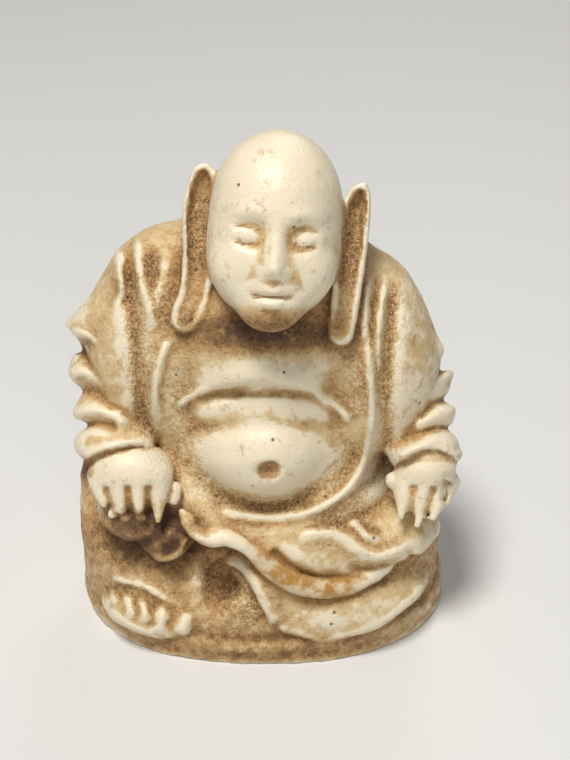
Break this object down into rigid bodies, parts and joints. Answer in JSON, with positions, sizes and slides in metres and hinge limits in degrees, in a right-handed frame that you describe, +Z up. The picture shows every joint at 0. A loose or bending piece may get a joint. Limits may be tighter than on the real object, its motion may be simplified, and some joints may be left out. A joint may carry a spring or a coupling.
{
  "type": "seated laughing monk carving",
  "caption": "Small cast figure of a seated, bald, long-eared monk in an open robe, on an oval base, aged cream finish.",
  "frame": {"origin": "centre of the oval base on its flat underside", "axes": "+Z up, the figure faces -Y, +X to its left hand as a viewer facing it sees right"},
  "size_m": [0.039, 0.0256, 0.053],
  "materials": {
    "aged_cream_resin": "satin"
  },
  "bodies": {
    "root": {"carving": "aged_cream_resin"}
  },
  "joints": []
}
